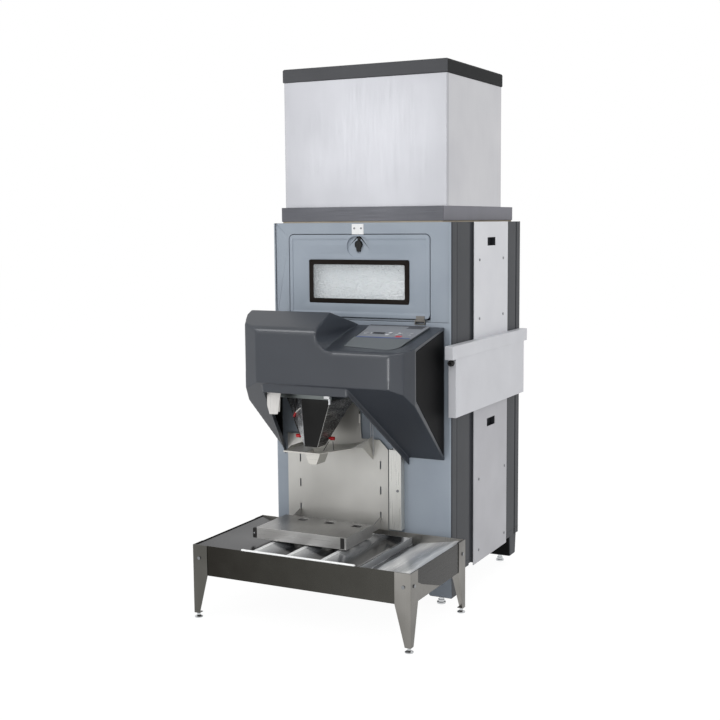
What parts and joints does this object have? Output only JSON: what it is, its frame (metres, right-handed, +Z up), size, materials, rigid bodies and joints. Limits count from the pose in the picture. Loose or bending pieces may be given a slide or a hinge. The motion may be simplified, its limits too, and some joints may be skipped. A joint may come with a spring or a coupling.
{
  "type": "ice dispensing bin",
  "caption": "Insulated ice bin under a modular ice machine, with an auger dispenser in a hood, a windowed drop-down door, side panels and a stainless catch table with fill shelf.",
  "frame": {"origin": "on the floor, at the middle of the whole footprint of bin and table", "axes": "+X to the right as a user faces the dispenser, +Y to the back, +Z up"},
  "size_m": [0.988, 1.409, 2.269],
  "materials": {
    "brushed_steel": "brushed stainless steel",
    "bin_grey": "rotomoulded polyethylene, fine grain",
    "bin_charcoal": "rotomoulded polyethylene, darker grey",
    "chrome_steel": "bright zinc and chrome",
    "panel_grey": "light grey powder coat",
    "dark_painted": "dark grey paint",
    "gasket_beige": "beige foam seal",
    "black_rubber": "black rubber",
    "clear_pane": "clear polycarbonate",
    "black_plastic": "black plastic",
    "hood_charcoal": "charcoal moulded plastic, satin",
    "keypad_grey": "grey membrane overlay",
    "key_white": "light grey keys",
    "sensor_red": "red caps",
    "drain_white": "white nylon",
    "fan_aluminium": "bare aluminium"
  },
  "bodies": {
    "cabinet": {"bin_front_wall": "bin_grey", "bin_side_walls": "bin_charcoal", "bin_rear_wall": "bin_charcoal", "bin_base": "bin_charcoal", "front_surround": "bin_grey", "bin_feet": "chrome_steel", "drain_fittings": "drain_white", "side_panel_upper_right": "panel_grey", "side_panel_lower_right": "panel_grey", "side_panel_upper_left": "panel_grey", "side_panel_lower_left": "panel_grey", "screws": "chrome_steel", "adapter_frame": "dark_painted", "adapter_front_trim": "dark_painted", "adapter_gasket": "gasket_beige", "latch_keeper": "brushed_steel", "door_hinge_brackets": "brushed_steel", "head_base": "brushed_steel", "head_front_panel": "brushed_steel", "head_right_panel": "brushed_steel", "head_left_panel": "brushed_steel", "head_rear_panel": "brushed_steel", "head_top_cap": "black_plastic", "evaporator": "fan_aluminium", "compressor": "dark_painted", "condenser": "fan_aluminium", "fan_motor": "dark_painted", "hood_shell": "hood_charcoal", "hood_cover_right": "black_plastic", "hood_cover_left": "black_plastic", "control_panel": "keypad_grey", "chute_frame": "brushed_steel", "chute_funnel": "brushed_steel", "auger_tube": "brushed_steel", "gearmotor": "dark_painted", "sensor_heads": "sensor_red", "spout_guide": "brushed_steel", "back_plate": "brushed_steel", "back_channel": "brushed_steel", "control_box": "panel_grey", "control_box_lid": "panel_grey", "cable_gland": "black_rubber", "table_frame": "brushed_steel", "table_top": "brushed_steel", "table_legs": "brushed_steel", "table_feet": "chrome_steel"},
    "door": {"access_door": "bin_grey", "door_gasket": "black_rubber", "window_gasket": "black_rubber", "door_window": "clear_pane", "door_hinge_leaves": "brushed_steel"},
    "latch": {"door_latch": "black_plastic"},
    "auger": {"auger": "brushed_steel"},
    "fan": {"condenser_fan": "fan_aluminium"},
    "grate": {"grate": "brushed_steel"},
    "shelf": {"fill_shelf": "brushed_steel"},
    "key_1": {"key_1": "key_white"},
    "key_2": {"key_2": "key_white"},
    "key_3": {"key_3": "key_white"},
    "key_4": {"key_4": "key_white"}
  },
  "joints": [
    {"name": "door_hinge", "type": "hinge", "parent": "cabinet", "child": "door", "pos_m": [-0.01, -0.1375, 1.204], "axis": [1, 0, 0], "range_deg": [0, 70]},
    {"name": "latch_slide", "type": "slide", "parent": "door", "child": "latch", "axis": [0, 0, -1], "range_m": [0, 0.012], "stiffness_N_per_m": 120, "springref_m": -0.004},
    {"name": "auger_spin", "type": "hinge", "parent": "cabinet", "child": "auger", "pos_m": [-0.11, -0.3045, 1.04], "axis": [0, -0.848, 0.5299], "continuous": true},
    {"name": "fan_spin", "type": "hinge", "parent": "cabinet", "child": "fan", "pos_m": [0.18, 0.4065, 1.927], "axis": [0, 1, 0], "continuous": true},
    {"name": "grate_lift", "type": "slide", "parent": "cabinet", "child": "grate", "axis": [0, 0, 1], "range_m": [0, 0.006]},
    {"name": "shelf_lift", "type": "slide", "parent": "cabinet", "child": "shelf", "axis": [0, 0, 1], "range_m": [0, 0.02]},
    {"name": "key_1_press", "type": "slide", "parent": "cabinet", "child": "key_1", "axis": [0, 0, -1], "range_m": [0, 0.0008], "stiffness_N_per_m": 400, "springref_m": -0.0006},
    {"name": "key_2_press", "type": "slide", "parent": "cabinet", "child": "key_2", "axis": [0, 0, -1], "range_m": [0, 0.0008], "stiffness_N_per_m": 400, "springref_m": -0.0006},
    {"name": "key_3_press", "type": "slide", "parent": "cabinet", "child": "key_3", "axis": [0, 0, -1], "range_m": [0, 0.0008], "stiffness_N_per_m": 400, "springref_m": -0.0006},
    {"name": "key_4_press", "type": "slide", "parent": "cabinet", "child": "key_4", "axis": [0, 0, -1], "range_m": [0, 0.0008], "stiffness_N_per_m": 400, "springref_m": -0.0006}
  ]
}
